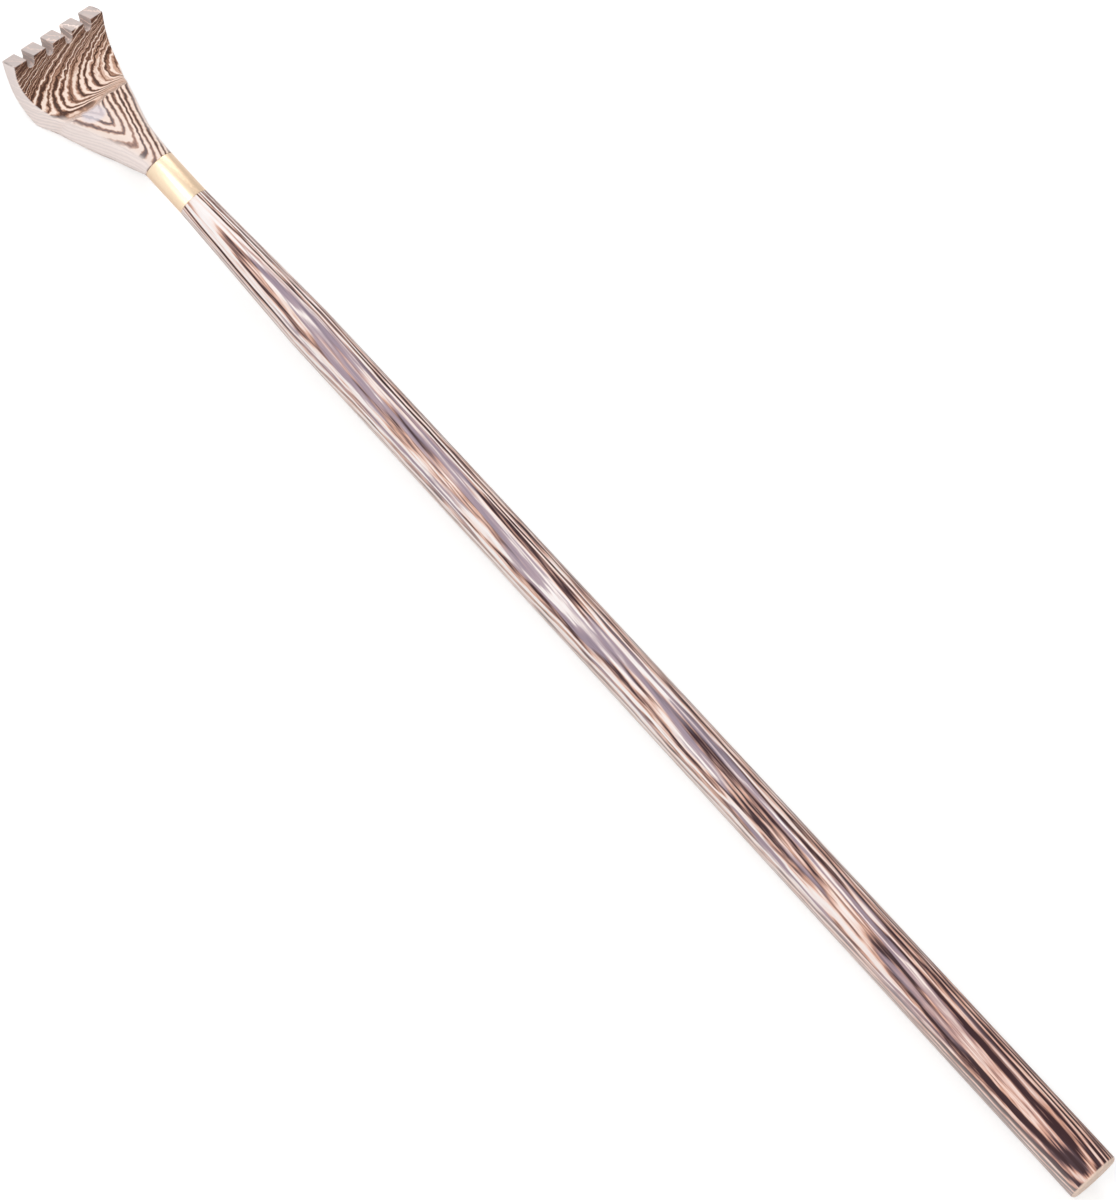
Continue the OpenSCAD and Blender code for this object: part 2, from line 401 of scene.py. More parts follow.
def shape_head(bm, head, ferrule, head_x):
    """Lofts the head from its tenon to its teeth, rounds the slots and breaks the edges."""
    form = HeadForm(head, ferrule.ferrule_d / 2.0, head_x)
    places, is_tooth = tooth_columns(form)
    rows = 4
    palm_steps = 36
    drop_steps = 12
    rise_steps = 30
    foot_steps = 3
    least_step = 0.1 * MM
    slot_round = 0.47 * head.slot_w
    column = bm.verts.layers.int.new("column")
    row = bm.verts.layers.int.new("row")
    last = len(places) - 1
    for vert in bmesh.ops.create_grid(bm, x_segments=last, y_segments=rows, size=1.0)["verts"]:
        vert[column] = round((vert.co.x + 1.0) / 2.0 * last)
        vert[row] = round((vert.co.y + 1.0) / 2.0 * rows)

    def set_round(verts, x, radius):
        for vert in verts:
            turn = places[vert[column]] * math.pi / 2.0
            up = radius * math.cos(turn) * (1.0 - 2.0 * vert[row] / rows)
            vert.co = Vector((x, radius * math.sin(turn), up))

    def set_section(verts, s):
        for vert in verts:
            vert.co = form.place(s, places[vert[column]], vert[row] / rows)

    # Tenon, from its hidden end to its shoulder
    spigot_r = ferrule.ferrule_d / 2.0 - ferrule.wall - ferrule.glue_gap
    spigot_len = (ferrule.ferrule_len - ferrule.end_gap) / 2.0
    cap = bm.faces[:]
    set_round(bm.verts, head_x - spigot_len, spigot_r - ferrule.spigot_edge)
    cap, verts = push_faces(bm, cap, keep=True)
    set_round(verts, head_x - spigot_len + ferrule.spigot_edge, spigot_r)
    cap, verts = push_faces(bm, cap)
    set_round(verts, head_x, spigot_r)

    # Neck, palm, scoop and the wood below the slots
    stations = [0.0, form.s_neck]
    stations += steps_between(form.s_neck, form.s_edge, palm_steps)
    stations += steps_between(form.s_edge, form.s_low, drop_steps)
    foot_s = form.s_end - head.slot_depth
    stations += steps_between(form.s_low, min(form.s_bend, foot_s), rise_steps)
    if foot_s > form.s_bend + least_step:
        stations += steps_between(form.s_bend, foot_s, foot_steps)
    for s in stations:
        cap, verts = push_faces(bm, cap)
        set_section(verts, s)

    # Teeth
    strip_of = {face: min(vert[column] for vert in face.verts) for face in cap}
    teeth = [face for face in cap if is_tooth[strip_of[face]]]
    floors = [face for face in cap if not is_tooth[strip_of[face]]]
    if foot_s < form.s_bend - least_step:
        teeth, verts = push_faces(bm, teeth)
        set_section(verts, form.s_bend)
    teeth, verts = push_faces(bm, teeth)
    set_section(verts, form.s_end)
    bmesh.ops.recalc_face_normals(bm, faces=bm.faces)

    # Round bottoms of the slots
    bottoms = []
    for face in floors:
        bottoms += [edge for edge in face.edges if edge.verts[0][column] == edge.verts[1][column]]
    bmesh.ops.bevel(bm, geom=bottoms, offset=slot_round, offset_type="OFFSET", segments=6, profile=0.5,
                    affect="EDGES", material=-1, clamp_overlap=True)

    # Broken edges round the teeth and the slots
    foot_x, foot_z = form.front(foot_s)
    tip_way = Vector((math.cos(head.tooth_angle), 0.0, math.sin(head.tooth_angle)))
    foot = Vector((head_x + foot_x, 0.0, foot_z)).dot(tip_way) - head.slot_w
    teeth_x = head_x + form.p_bend[0] - head.slot_w
    sharp = []
    for edge in bm.edges:
        near = min(vert.co.dot(tip_way) for vert in edge.verts) > foot
        at_teeth = edge.verts[0].co.x > teeth_x
        if near and at_teeth and edge.is_manifold and edge.calc_face_angle() > SHARP_ANGLE:
            sharp.append(edge)
    bmesh.ops.bevel(bm, geom=sharp, offset=head.tooth_edge, offset_type="OFFSET", segments=3, profile=0.5,
                    affect="EDGES", material=-1, clamp_overlap=False)
    bmesh.ops.dissolve_degenerate(bm, dist=WELD, edges=bm.edges)
    bmesh.ops.recalc_face_normals(bm, faces=bm.faces)
    bm.normal_update()

    # Pale sanded wood and painted light: the side faces and the ends of the teeth are paler, on the palm
    # the right side's rounding from a lower tilt than the left, and the slot walls only half as much
    left_tilt = 0.72
    right_tilt = 0.25
    scoop_tilt = 0.60
    full_tilt = 0.92
    scoop_full_tilt = 0.97
    tip_tilt = 0.45
    tip_full_tilt = 0.80
    slot_share = 0.50
    slots_y = head.head_w / 2.0 - head.slot_w / 2.0
    edge_x = form.p_edge[0]
    fade = 3.0 * MM
    sanded_and_lit = bm.verts.layers.float.new("sanded_and_lit")
    tooth_end = bm.verts.layers.float.new("tooth_end")
    for vert in bm.verts:
        past_edge = ease(vert.co.x - head_x, edge_x - fade, edge_x)
        low = blend(right_tilt if vert.normal.y < 0.0 else left_tilt, scoop_tilt, past_edge)
        value = ease(abs(vert.normal.y), low, blend(full_tilt, scoop_full_tilt, past_edge))
        if vert.co.dot(tip_way) > foot and vert.co.x > teeth_x:
            vert[tooth_end] = ease(vert.normal.dot(tip_way), tip_tilt, tip_full_tilt)
            if abs(vert.co.y) < slots_y:
                value *= slot_share
        vert[sanded_and_lit] = max(value, vert[tooth_end])
    bm.verts.layers.int.remove(bm.verts.layers.int["column"])
    bm.verts.layers.int.remove(bm.verts.layers.int["row"])


def spin_outline(bm, points, closed):
    """Turns an outline of (along, radius) points round the handle's line."""
    verts = [bm.verts.new((x, 0.0, r)) for x, r in points]
    following = verts[1:] + verts[:1] if closed else verts[1:]
    edges = [bm.edges.new(pair) for pair in zip(verts, following)]
    bmesh.ops.spin(bm, geom=verts + edges, cent=(0.0, 0.0, 0.0), axis=(1.0, 0.0, 0.0), angle=math.tau,
                   steps=TURN_STEPS, use_merge=True)
    bmesh.ops.remove_doubles(bm, verts=bm.verts, dist=WELD)
    bmesh.ops.recalc_face_normals(bm, faces=bm.faces)
    bm.normal_update()


def shape_handle(bm, handle, ferrule):
    """Turns the rounded butt, the long taper, the short taper and the spigot inside the ferrule."""
    face_rings = 4
    rim_steps = 8
    long_steps = 24
    short_steps = 12
    butt_r = handle.butt_d / 2.0
    shoulder_r = handle.shoulder_d / 2.0
    neck_r = ferrule.ferrule_d / 2.0
    spigot_r = neck_r - ferrule.wall - ferrule.glue_gap
    spigot_end = handle.handle_len + (ferrule.ferrule_len - ferrule.end_gap) / 2.0
    rim_r = butt_r - handle.butt_round
    points = [(0.0, rim_r * step / face_rings) for step in range(face_rings)]
    for step in reversed(range(rim_steps + 1)):
        turn = step / rim_steps * math.pi / 2.0
        x = handle.butt_round * (1.0 - math.sin(turn))
        points.append((x, rim_r + handle.butt_round * math.cos(turn)))
    taper_start = handle.handle_len - handle.taper_len
    for x in steps_between(handle.butt_round, taper_start, long_steps):
        points.append((x, blend(butt_r, shoulder_r, share(x, handle.butt_round, taper_start))))
    for x in steps_between(taper_start, handle.handle_len, short_steps):
        points.append((x, blend(shoulder_r, neck_r, share(x, taper_start, handle.handle_len))))
    points += [
        (handle.handle_len, spigot_r),
        (spigot_end - ferrule.spigot_edge, spigot_r),
        (spigot_end, spigot_r - ferrule.spigot_edge),
        (spigot_end, 0.0),
    ]
    spin_outline(bm, points, closed=False)
    # The butt face is bare end grain, as far as its rim
    rim_tilt = 0.12
    face_tilt = 0.50
    sanded_and_lit = bm.verts.layers.float.new("sanded_and_lit")
    for vert in bm.verts:
        vert[sanded_and_lit] = ease(-vert.normal.x, rim_tilt, face_tilt)


def shape_ferrule(bm, handle, ferrule):
    """Turns the brass tube with rounded outer edges."""
    outer = ferrule.ferrule_d / 2.0
    bore = outer - ferrule.wall
    start = handle.handle_len
    end = start + ferrule.ferrule_len
    points = [(start, bore), (start, outer), (end, outer), (end, bore)]
    spin_outline(bm, points, closed=True)
    near = 0.001 * MM
    rims = []
    for edge in bm.edges:
        at_rim = all(abs(vert.co.yz.length - outer) < near for vert in edge.verts)
        if at_rim and edge.calc_face_angle() > SHARP_ANGLE:
            rims.append(edge)
    bmesh.ops.bevel(bm, geom=rims, offset=ferrule.edge, offset_type="OFFSET", segments=3, profile=0.5,
                    affect="EDGES", material=-1, clamp_overlap=True)
    bm.normal_update()


def make_piece(name, node, material, build):
    """Makes one finished piece that stands for a node and moves with the part."""
    bm = bmesh.new()
    build(bm)
    for face in bm.faces:
        face.smooth = True
    for edge in bm.edges:
        if edge.is_manifold:
            edge.smooth = edge.calc_face_angle() < SMOOTH_ANGLE
    mesh = bpy.data.meshes.new(name)
    bm.to_mesh(mesh)
    bm.free()
    piece = bpy.data.objects.new(name, mesh)
    bpy.context.scene.collection.objects.link(piece)
    mesh.materials.append(material)
    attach(piece, "root")
    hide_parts(node)


# Materials

class Finish:
    """Adds the nodes of one material or of the world and links them."""

    def __init__(self, owner):
        owner.use_nodes = True
        self.tree = owner.node_tree
        self.tree.nodes.clear()

    def node(self, kind, **settings):
        """A new node with its settings."""
        made = self.tree.nodes.new(kind)
        for key, value in settings.items():
            setattr(made, key, value)
        return made

    def feed(self, socket, value):
        """Links a socket, or sets a plain value."""
        if isinstance(value, bpy.types.NodeSocket):
            self.tree.links.new(value, socket)
        else:
            socket.default_value = value

    def math(self, operation, a, b=0.0):
        """One step of arithmetic."""
        made = self.node("ShaderNodeMath", operation=operation)
        self.feed(made.inputs[0], a)
        self.feed(made.inputs[1], b)
        return made.outputs[0]

    def total(self, *values):
        """Sum of several values."""
        result = values[0]
        for value in values[1:]:
            result = self.math("ADD", result, value)
        return result

    def times(self, a, b):
        """Product of two values."""
        return self.math("MULTIPLY", a, b)

    def weighted(self, *pairs):
        """Sum of several values, each times its own weight."""
        return self.total(*[self.times(value, weight) for value, weight in pairs])

    def between(self, factor, a, b):
        """Value a where the factor is 0 and b where it is 1."""
        return self.total(a, self.times(factor, self.math("SUBTRACT", b, a)))

    def step(self, value, low, high, to_low=0.0, to_high=1.0):
        """Eased change from one value to another."""
        made = self.node("ShaderNodeMapRange", interpolation_type="SMOOTHSTEP")
        self.feed(made.inputs["Value"], value)
        for key, number in (("From Min", low), ("From Max", high), ("To Min", to_low), ("To Max", to_high)):
            made.inputs[key].default_value = number
        return made.outputs["Result"]

    def place_mm(self):
        """Place on the part in millimetres."""
        coords = self.node("ShaderNodeTexCoord")
        scaled = self.node("ShaderNodeVectorMath", operation="SCALE")
        self.feed(scaled.inputs[0], coords.outputs["Object"])
        scaled.inputs["Scale"].default_value = TO_MM
        return scaled.outputs[0]

    def parts(self, vector):
        """The three numbers of a vector."""
        made = self.node("ShaderNodeSeparateXYZ")
        self.feed(made.inputs[0], vector)
        return made.outputs[0], made.outputs[1], made.outputs[2]

    def joined(self, *values):
        """A vector of three numbers."""
        made = self.node("ShaderNodeCombineXYZ")
        for socket, value in zip(made.inputs, values):
            self.feed(socket, value)
        return made.outputs[0]

    def noise(self, vector, length, width, detail=2.0, roughness=0.5):
        """Soft noise from about -1 to 1, with waves of a length along the handle and a width across it."""
        sized = self.node("ShaderNodeMapping", vector_type="POINT")
        self.feed(sized.inputs["Vector"], vector)
        sized.inputs["Scale"].default_value = (1.0 / length, 1.0 / width, 1.0 / width)
        made = self.node("ShaderNodeTexNoise", noise_dimensions="3D")
        self.feed(made.inputs["Vector"], sized.outputs[0])
        made.inputs["Scale"].default_value = 1.0
        made.inputs["Detail"].default_value = detail
        made.inputs["Roughness"].default_value = roughness
        return self.centred(made.outputs[0])

    def line_noise(self, value, size, detail=1.0):
        """Noise along one number, from about -1 to 1, with waves of a size."""
        made = self.node("ShaderNodeTexNoise", noise_dimensions="1D")
        self.feed(made.inputs["W"], self.times(value, 1.0 / size))
        made.inputs["Scale"].default_value = 1.0
        made.inputs["Detail"].default_value = detail
        return self.centred(made.outputs[0])

    def centred(self, value):
        """A value from 0 to 1 brought to -1 to 1."""
        return self.math("SUBTRACT", self.times(value, 2.0), 1.0)

    def ramp(self, value, stops):
        """Colours along a value."""
        made = self.node("ShaderNodeValToRGB")
        self.feed(made.inputs[0], value)
        elements = made.color_ramp.elements
        while len(elements) < len(stops):
            elements.new(0.5)
        for element, (place, colour) in zip(elements, stops):
            element.position = place
            element.color = (*colour, 1.0)
        return made.outputs[0]

    def mix_colour(self, factor, a, b, blend_type="MIX"):
        """Mix of two colours."""
        made = self.node("ShaderNodeMix", data_type="RGBA", blend_type=blend_type)
        self.feed(made.inputs[0], factor)
        for socket, value in ((made.inputs[6], a), (made.inputs[7], b)):
            self.feed(socket, value if isinstance(value, bpy.types.NodeSocket) else (*value, 1.0))
        return made.outputs[2]

    def attribute(self, name):
        """A number painted on the piece."""
        return self.node("ShaderNodeAttribute", attribute_name=name).outputs["Fac"]

    def seen(self):
        """1 for rays of the camera, also by way of metal and glass, and 0 for rays of light."""
        path = self.node("ShaderNodeLightPath")
        direct = self.math("MAXIMUM", path.outputs["Is Camera Ray"], path.outputs["Is Glossy Ray"])
        return self.math("MAXIMUM", direct, path.outputs["Is Transmission Ray"])

    def shader(self, colour, roughness, bump_height, bump_depth, **values):
        """Surface shader with bump, and the material's output."""
        surface = self.node("ShaderNodeBsdfPrincipled")
        self.feed(surface.inputs["Base Color"], colour)
        self.feed(surface.inputs["Roughness"], roughness)
        for key, value in values.items():
            surface.inputs[key.replace("_", " ")].default_value = value
        bump = self.node("ShaderNodeBump")
        bump.inputs["Strength"].default_value = 1.0
        bump.inputs["Distance"].default_value = bump_depth
        self.feed(bump.inputs["Height"], bump_height)
        self.feed(surface.inputs["Normal"], bump.outputs[0])
        output = self.node("ShaderNodeOutputMaterial")
        self.feed(output.inputs["Surface"], surface.outputs[0])


def flame_axes(finish, y, z):
    """How far a point lies towards the handle's flames, and how far to the left of them."""
    sine = math.sin(FLAME_TURN)
    cosine = math.cos(FLAME_TURN)
    depth = finish.weighted((y, sine), (z, cosine))
    across = finish.math("SUBTRACT", finish.times(y, cosine), finish.times(z, sine))
    return depth, across


def banded_wood(finish, layer, shade, pitch, bold_share, fine_share, uneven_share):
    """Tone of banded wood, dark to pale, from the depth of its layers and an added shade."""
    middle_tone = 0.5
    fine_count = 2.3
    wander_size = pitch * 2.4
    wander_turn = 1.8
    uneven_size = pitch * 0.8
    wander = finish.times(finish.line_noise(layer, wander_size), wander_turn)
    bold = finish.math("SINE", finish.total(finish.times(layer, math.tau / pitch), wander))
    fine = finish.times(layer, fine_count * math.tau / pitch)
    fine = finish.math("SINE", finish.total(fine, wander))
    uneven = finish.line_noise(layer, uneven_size, detail=2.0)
    waves = finish.weighted((bold, bold_share), (fine, fine_share), (uneven, uneven_share))
    return finish.total(waves, shade, middle_tone)


def head_wood(wood):
    """Wood of the head: flat layers that the scoop cuts into arches and the palm into hairpins."""
    material = bpy.data.materials.new("Banded head wood")
    finish = Finish(material)
    place = finish.place_mm()
    x, y, z = finish.parts(place)
    along = finish.math("SUBTRACT", x, FERRULE_BOX[1].x * TO_MM)
    wide = finish.noise(place, 7.0, 5.0)
    fine = finish.noise(place, 1.3, 1.3, detail=3.0)
    pores = finish.noise(place, 2.4, 0.30, detail=3.0, roughness=0.6)
    sanded_and_lit = finish.attribute("sanded_and_lit")

    # Zones of the head. The edge of the scoop bows towards the neck
    bow_y = 5.0
    bow_reach = 9.0
    bow_height = 1.5
    from_bow = finish.math("ABSOLUTE", finish.math("SUBTRACT", y, bow_y))
    bow = finish.step(from_bow, bow_reach, 0.0, 0.0, bow_height)
    edge = finish.total(along, bow, finish.times(wide, 0.6), finish.times(fine, 0.3))
    in_scoop = finish.step(edge, 25.2, 26.5)
    on_palm = finish.math("SUBTRACT", 1.0, in_scoop)
    right_palm = finish.times(on_palm, finish.step(y, 1.5, -2.5))
    ragged_wall = finish.step(along, 30.0, 38.0)
    left_wall = finish.times(finish.step(y, 4.0, 14.0), finish.step(along, 29.0, 37.0))
    scoop_end = finish.times(in_scoop, finish.step(y, -3.5, -10.0))
    scoop_end = finish.times(scoop_end, finish.step(along, 40.0, 32.0))
    near_teeth = finish.step(along, 34.0, 42.0)
    tips = finish.step(along, 42.5, 46.0)

    # On the palm the layers turn back at a ridge
    ridge_y = 3.6
    ridge_round = 0.8
    off = finish.math("SUBTRACT", y, ridge_y)
    ridge = finish.math("SQRT", finish.total(finish.times(off, off), ridge_round))
    palm = finish.total(finish.weighted((along, 0.33), (ridge, -0.72), (off, 0.06)), -1.0)

    # In the scoop they lie flat, curl along its edge and gather at its right end
    reach = finish.math("SUBTRACT", 1.0, finish.step(along, 25.6, 31.0))
    from_left = finish.math("SUBTRACT", 13.0, finish.math("MAXIMUM", y, -5.0))
    curl = finish.times(finish.times(reach, reach), from_left)
    scoop = finish.total(z, finish.times(along, 0.35), finish.times(y, 0.49), finish.times(curl, 0.36))

    # The flat layers show on the side faces too
    flat = finish.math("MAXIMUM", in_scoop, finish.step(sanded_and_lit, 0.75, 1.0))
    layer = finish.between(flat, palm, scoop)
    ragged = finish.times(fine, finish.total(0.38, finish.times(ragged_wall, 0.42)))
    layer = finish.total(layer, finish.times(wide, 0.75), ragged)

    # Each zone has its own shade and its own share of bold and fine bands. Painted light and shade: the
    # palm is paler, the wall near the teeth darker and the wood at the teeth darker still, most on the left
    tip_shade = finish.total(finish.step(y, -12.0, 15.0, -0.12, -0.27), finish.times(wide, 0.15))
    shade = finish.weighted((pores, 0.22), (near_teeth, -0.13), (on_palm, 0.11), (right_palm, -0.13),
                            (tips, tip_shade), (left_wall, -0.09), (scoop_end, 0.10))
    shade = finish.total(shade, 0.02)
    bold_share = finish.total(0.36, finish.times(near_teeth, -0.22), finish.times(scoop_end, -0.12))
    fine_share = finish.weighted((near_teeth, 0.26), (tips, -0.10), (scoop_end, 0.14))
    tone = banded_wood(finish, layer, shade, pitch=1.45, bold_share=bold_share, fine_share=fine_share,
                       uneven_share=0.62)
    stops = [(0.18, wood.dark), (0.37, wood.brown), (0.55, wood.salmon), (0.76, wood.cream)]
    bands = finish.ramp(tone, stops)

    # The bands blur where they gather. Painted sheen: the palm is mixed towards a cool sheen, more to the
    # left and most in one patch
    gather = finish.times(in_scoop, finish.step(edge, 28.2, 26.4, 0.0, 0.50))
    bands = finish.mix_colour(gather, bands, wood.salmon)
    patch_along = 22.8
    patch_y = 5.0
    patch_half_length = 3.4
    patch_half_width = 4.6
    patch_u = finish.times(finish.math("SUBTRACT", along, patch_along), 1.0 / patch_half_length)
    patch_v = finish.times(finish.math("SUBTRACT", y, patch_y), 1.0 / patch_half_width)
    sheen_patch = finish.step(finish.weighted((patch_u, patch_u), (patch_v, patch_v)), 1.0, 0.35)
    palm_sheen = finish.total(finish.step(y, -2.5, 2.5, 0.02, 0.14), finish.times(sheen_patch, 0.60))
    bands = finish.mix_colour(finish.times(on_palm, palm_sheen), bands, wood.sheen)

    # Pale wood shows a little of the bands, most at the ends of the teeth
    streaks = finish.total(0.13, finish.times(finish.attribute("tooth_end"), 0.30))
    colour = finish.mix_colour(sanded_and_lit, bands, finish.mix_colour(streaks, wood.sanded_and_lit, bands))
    roughness = finish.total(0.44, finish.times(tone, 0.08), finish.times(sanded_and_lit, 0.10))
    height = finish.weighted((tone, 0.5), (pores, 0.5))
    finish.shader(colour, roughness, height, PORE_DEPTH, Specular_IOR_Level=0.14)
    return material


def handle_wood(wood):
    """Wood of the handle: long flames along the middle and fine lines at both sides."""
    material = bpy.data.materials.new("Banded handle wood")
    finish = Finish(material)
    x, y, z = finish.parts(finish.place_mm())
    depth, across = flame_axes(finish, y, z)
    to_butt = finish.step(x, 170.0, 0.0)
    at_butt = finish.step(x, 85.0, 35.0)
    to_head = finish.step(x, 290.0, 372.0)

    # The grain runs a little aslant
    slant = finish.joined(x, finish.total(y, finish.times(x, 0.045)), z)
    long_wave = finish.noise(slant, 70.0, 7.0)
    short_wave = finish.noise(slant, 34.0, 1.9)
    slivers = finish.noise(slant, 21.0, 0.65, detail=3.0, roughness=0.58)
    pores = finish.noise(slant, 9.0, 0.22)

    # Flames close towards the ferrule
    closing = finish.weighted((x, 0.010), (to_head, 0.8))
    steady = finish.math("SUBTRACT", 1.30, finish.times(to_head, 0.80))
    calm = finish.math("SUBTRACT", 0.80, finish.times(to_head, 0.55))
    layer = finish.total(depth, closing, finish.times(long_wave, steady), finish.times(short_wave, calm))
    shade = finish.weighted((pores, 0.22), (slivers, 0.60), (to_butt, -0.13), (to_head, 0.04))
    # Painted light and shade: a little paler over the top and left, darker on the right side
    shade = finish.total(shade, finish.step(across, -1.0, -4.5, 0.07, -0.06))
    fine_share = finish.total(0.08, finish.times(to_head, 0.22))
    tone = banded_wood(finish, layer, shade, pitch=1.25, bold_share=0.22, fine_share=fine_share,
                       uneven_share=0.38)

    # At the butt one dark arch closes round a pale middle
    arch_pitch = 1.35
    arch_top = 8.0
    closed = finish.times(finish.math("POWER", 0.90, x), 1.3)
    arch = finish.total(arch_top, finish.times(depth, -1.0), finish.times(x, -0.004),
                        finish.times(short_wave, 0.34), closed)
    arch = finish.math("COSINE", finish.times(arch, math.tau / arch_pitch))
    arch = finish.total(finish.weighted((arch, 0.27), (slivers, 0.58), (pores, 0.24)), 0.29)
    tone = finish.between(at_butt, tone, arch)
    stops = [(0.22, wood.umber), (0.36, wood.russet), (0.48, wood.rose), (0.62, wood.pearl),
             (0.86, wood.milk)]
    bands = finish.ramp(tone, stops)

    # Painted sheen: cool mauve ribbons lie along the upper side, where the top catches the light, fainter
    # on the darkest bands and not on the palest
    sheen_ribbon = finish.step(finish.noise(slant, 48.0, 2.6, detail=1.0), -0.03, 0.15)
    sheen_ribbon = finish.times(sheen_ribbon, finish.step(depth, 4.6, 6.0))
    middling = finish.times(finish.step(tone, 0.78, 0.58), finish.step(tone, 0.02, 0.20, 0.5, 1.0))
    strength = finish.math("SUBTRACT", 0.85, finish.times(at_butt, 0.70))
    sheen_ribbon = finish.times(finish.times(sheen_ribbon, middling), strength)
    bands = finish.mix_colour(sheen_ribbon, bands, wood.mauve)

    # The wood is warmer towards the butt, and painted light makes it paler on the left side
    bands = finish.mix_colour(finish.times(to_butt, 0.75), bands, wood.glaze, "MULTIPLY")
    bands = finish.mix_colour(finish.step(across, 3.6, 7.2, 0.0, 0.40), bands, wood.sanded_and_lit)
    sanded_and_lit = finish.attribute("sanded_and_lit")
    colour = finish.mix_colour(sanded_and_lit, bands, finish.mix_colour(0.08, wood.butt, bands))
    roughness = finish.total(0.38, finish.times(tone, 0.10), finish.times(sanded_and_lit, 0.12))
    height = finish.weighted((tone, 0.5), (pores, 0.5))
    finish.shader(colour, roughness, height, PORE_DEPTH, Specular_IOR_Level=0.12)
    return material


def satin_brass(brass):
    """Satin brass with fine turning marks and wear, and flanks dulled by painted reflection."""
    material = bpy.data.materials.new("Satin brass")
    finish = Finish(material)
    place = finish.place_mm()
    depth, across = flame_axes(finish, *finish.parts(place)[1:])
    marks = finish.noise(place, 0.12, 6.0, detail=3.0, roughness=0.6)
    wear = finish.noise(place, 5.0, 4.0, detail=4.0, roughness=0.6)
    # Painted reflection: the brass is dimmer away from the top, with uneven wear and turning marks mixed in
    painted_dim_side = finish.step(depth, 4.4, 1.6, 0.0, 0.75)
    wear_and_dim_side = finish.total(painted_dim_side, finish.times(wear, 0.25), finish.times(marks, 0.12))
    colour = finish.mix_colour(wear_and_dim_side, brass.brass, brass.wear_and_dim_brass)
    # Painted reflection: the right flank is dulled where it would mirror darker surroundings, less so at
    # its edge
    flank = finish.step(across, -0.8, -2.9)
    flank = finish.times(flank, finish.step(across, -4.7, -3.5, 0.30, 0.90))
    colour = finish.mix_colour(flank, colour, brass.painted_dark_flank)
    roughness = finish.total(0.38, finish.times(wear, 0.06), finish.times(marks, 0.05))
    finish.shader(colour, roughness, marks, MARK_DEPTH, Metallic=1.0)
    return material


# Stage

def studio_floor(look, plane_tilt, rest_z):
    """Wide plain floor on which the head and the butt rest."""
    bm = bmesh.new()
    bmesh.ops.create_grid(bm, x_segments=8, y_segments=8, size=6.0)
    lie = Matrix.Translation((0.0, 0.0, rest_z)) @ Matrix.Rotation(plane_tilt, 4, "Y")
    bmesh.ops.transform(bm, matrix=lie, verts=bm.verts)
    mesh = bpy.data.meshes.new("Studio_floor")
    bm.to_mesh(mesh)
    bm.free()
    floor = bpy.data.objects.new("Studio_floor", mesh)
    bpy.context.scene.collection.objects.link(floor)
    material = bpy.data.materials.new("Pale studio floor")
    finish = Finish(material)
    matt = finish.node("ShaderNodeBsdfDiffuse")
    matt.inputs["Color"].default_value = (*look.floor, 1.0)
    glow = finish.node("ShaderNodeEmission")
    finish.feed(glow.inputs["Strength"], finish.times(finish.seen(), look.floor_glow))
    both = finish.node("ShaderNodeAddShader")
    finish.feed(both.inputs[0], matt.outputs[0])
    finish.feed(both.inputs[1], glow.outputs[0])
    output = finish.node("ShaderNodeOutputMaterial")
    finish.feed(output.inputs["Surface"], both.outputs[0])
    mesh.materials.append(material)


def white_world(look):
    """World that is white to the camera and gives a soft fill light."""
    world = bpy.data.worlds.new("White studio")
    bpy.context.scene.world = world
    finish = Finish(world)
    background = finish.node("ShaderNodeBackground")
    background.inputs["Color"].default_value = (1.0, 1.0, 1.0, 1.0)
    strength = finish.step(finish.seen(), 0.0, 1.0, look.fill, 1.0)
    finish.feed(background.inputs["Strength"], strength)
    output = finish.node("ShaderNodeOutputWorld")
    finish.feed(output.inputs["Surface"], background.outputs[0])


def softbox(name, power, size, place, target):
    """Rectangular soft light that looks at a point."""
    lamp = bpy.data.lights.new(name, "AREA")
    lamp.shape = "RECTANGLE"
    lamp.size = size[0]
    lamp.size_y = size[1]
    lamp.energy = power
    holder = bpy.data.objects.new(name, lamp)
    holder.location = place
    holder.rotation_euler = (Vector(target) - Vector(place)).to_track_quat("-Z", "Y").to_euler()
    bpy.context.scene.collection.objects.link(holder)


def studio_camera():
    """Camera with a long lens at the photograph's viewing angle."""
    lens = bpy.data.cameras.new("Studio_camera")
    lens.sensor_width = 36.0
    lens.lens = 210.0
    lens.clip_start = 0.01
    camera = bpy.data.objects.new("Studio_camera", lens)
    # One turn about one axis leads from the part's frame to right, down and away
    turn = Vector((-1.2528628, 2.6713928, -0.8783557))
    right, down, away = Matrix.Rotation(turn.length, 3, turn.normalized())
    view = Matrix((right, -down, -away)).transposed().to_4x4()
    view.translation = (-0.1260922, 1.0101212, 1.6207254)
    camera.matrix_world = view
    bpy.context.scene.collection.objects.link(camera)
    bpy.context.scene.camera = camera


# Operators

class SCRATCHER_OT_head(bpy.types.Operator):
    """Builds the carved head with its tenon, scoop and teeth"""

    bl_idname = "scratcher.head"
    bl_label = "Carved Head"

    def execute(self, context):
        settings = context.scene.scratcher
        head_x = settings.handle.handle_len + settings.ferrule.ferrule_len
        make_piece("Carved_head", "scratcher_head", head_wood(settings.wood),
                   lambda bm: shape_head(bm, settings.head, settings.ferrule, head_x))
        return {"FINISHED"}


class SCRATCHER_OT_ferrule(bpy.types.Operator):
    """Builds the brass tube between the head and the handle"""

    bl_idname = "scratcher.ferrule"
    bl_label = "Brass Ferrule"

    def execute(self, context):
        settings = context.scene.scratcher
        make_piece("Brass_ferrule", "ferrule", satin_brass(settings.brass),
                   lambda bm: shape_ferrule(bm, settings.handle, settings.ferrule))
        return {"FINISHED"}


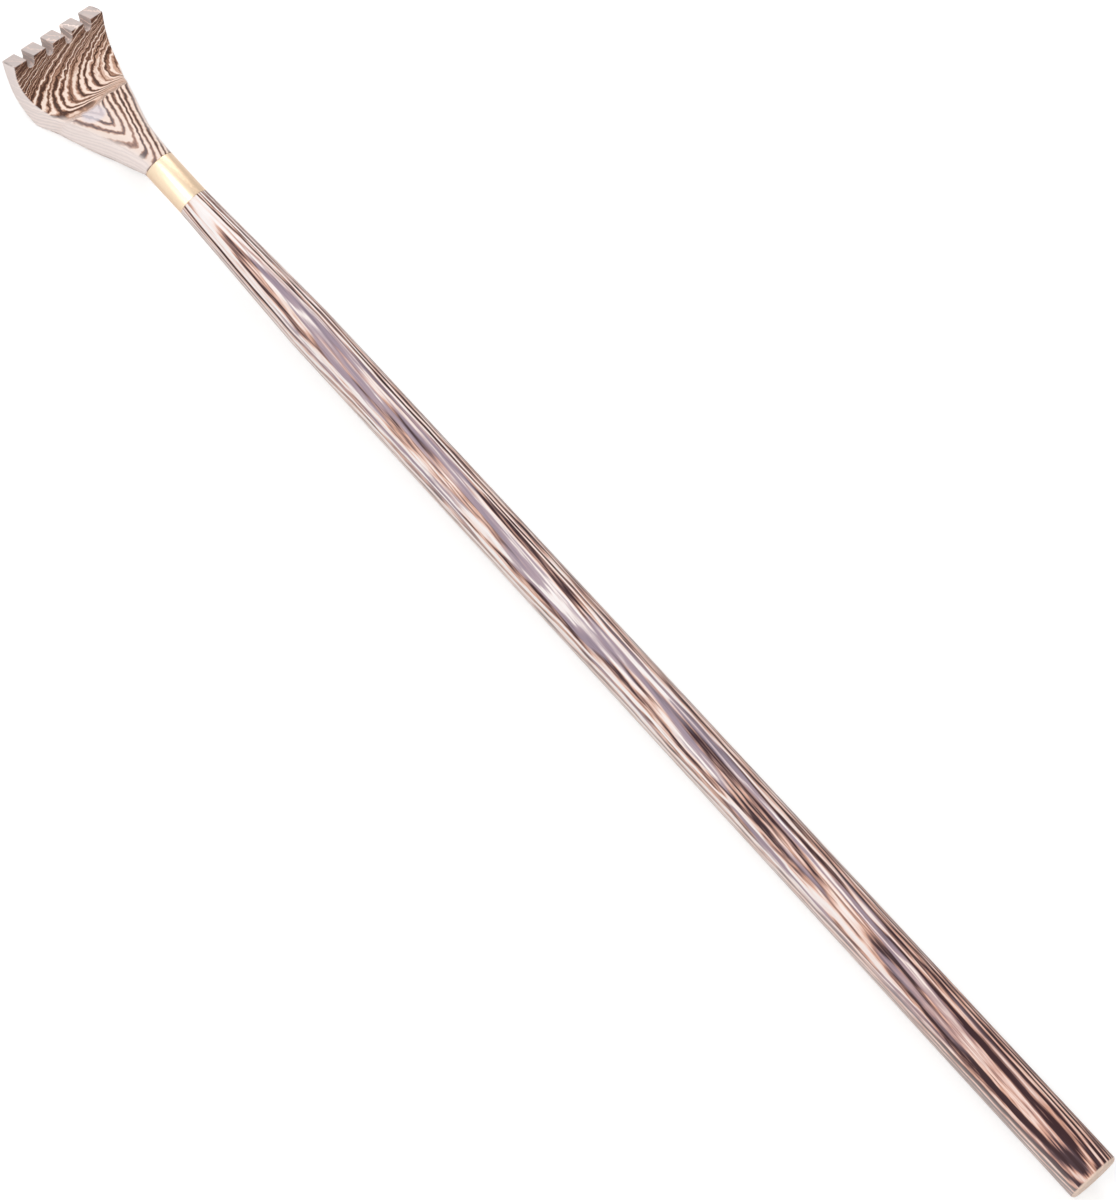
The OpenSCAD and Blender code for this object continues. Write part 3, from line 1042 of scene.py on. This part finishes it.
class SCRATCHER_OT_handle(bpy.types.Operator):
    """Builds the turned handle with its spigot"""

    bl_idname = "scratcher.handle"
    bl_label = "Turned Handle"

    def execute(self, context):
        settings = context.scene.scratcher
        make_piece("Turned_handle", "handle", handle_wood(settings.wood),
                   lambda bm: shape_handle(bm, settings.handle, settings.ferrule))
        return {"FINISHED"}


class SCRATCHER_OT_stage(bpy.types.Operator):
    """Sets the floor, the light and the camera"""

    bl_idname = "scratcher.stage"
    bl_label = "Studio Stage"

    def execute(self, context):
        settings = context.scene.scratcher
        look = settings.stage
        butt_r = settings.handle.butt_d / 2.0
        head_x = settings.handle.handle_len + settings.ferrule.ferrule_len
        tilt = math.atan2(settings.head.head_low - butt_r, head_x + settings.head.belly_reach)
        studio_floor(look, tilt, -butt_r)
        white_world(look)
        softbox("Softbox_beyond_head", look.softbox, size=(0.8, 0.8), place=(1.13, -0.61, 0.85),
                target=(0.35, 0.0, 0.0))
        softbox("Panel_above_handle", look.panel, size=(0.9, 0.5), place=(0.52, 0.92, 1.33),
                target=(0.25, 0.0, 0.0))
        softbox("Low_side_light", look.side, size=(1.0, 0.6), place=(0.30, 1.40, 0.45),
                target=(0.25, 0.0, 0.0))
        softbox("Soft_butt_light", look.butt, size=(0.7, 0.7), place=(-0.95, 0.35, 0.60),
                target=(0.0, 0.0, 0.0))
        studio_camera()
        context.scene.view_settings.view_transform = "Standard"
        return {"FINISHED"}


class SCRATCHER_PT_panel(bpy.types.Panel):
    """Lists the pieces and the settings of the back scratcher"""

    bl_label = "Back Scratcher"
    bl_idname = "SCRATCHER_PT_panel"
    bl_space_type = "VIEW_3D"
    bl_region_type = "UI"
    bl_category = "Scratcher"

    def draw(self, context):
        settings = context.scene.scratcher
        for operator in OPERATORS:
            self.layout.operator(operator.bl_idname)
        for group_name in ScratcherSettings.__annotations__:
            group = getattr(settings, group_name)
            box = self.layout.box()
            for name in type(group).__annotations__:
                box.prop(group, name)


OPERATORS = (SCRATCHER_OT_stage, SCRATCHER_OT_head, SCRATCHER_OT_ferrule, SCRATCHER_OT_handle)
GROUPS = (HeadSizes, HandleSizes, FerruleSizes, WoodFinish, BrassFinish, StageLook, ScratcherSettings)
CLASSES = GROUPS + OPERATORS + (SCRATCHER_PT_panel,)


def register():
    """Registers the classes and the settings."""
    for item in CLASSES:
        bpy.utils.register_class(item)
    bpy.types.Scene.scratcher = PointerProperty(type=ScratcherSettings)


def unregister():
    """Removes the settings and the classes."""
    del bpy.types.Scene.scratcher
    for item in reversed(CLASSES):
        bpy.utils.unregister_class(item)


def main():
    """Builds the stage and every piece."""
    register()
    bpy.ops.scratcher.stage()
    bpy.ops.scratcher.head()
    bpy.ops.scratcher.ferrule()
    bpy.ops.scratcher.handle()


if __name__ == "__main__":
    main()
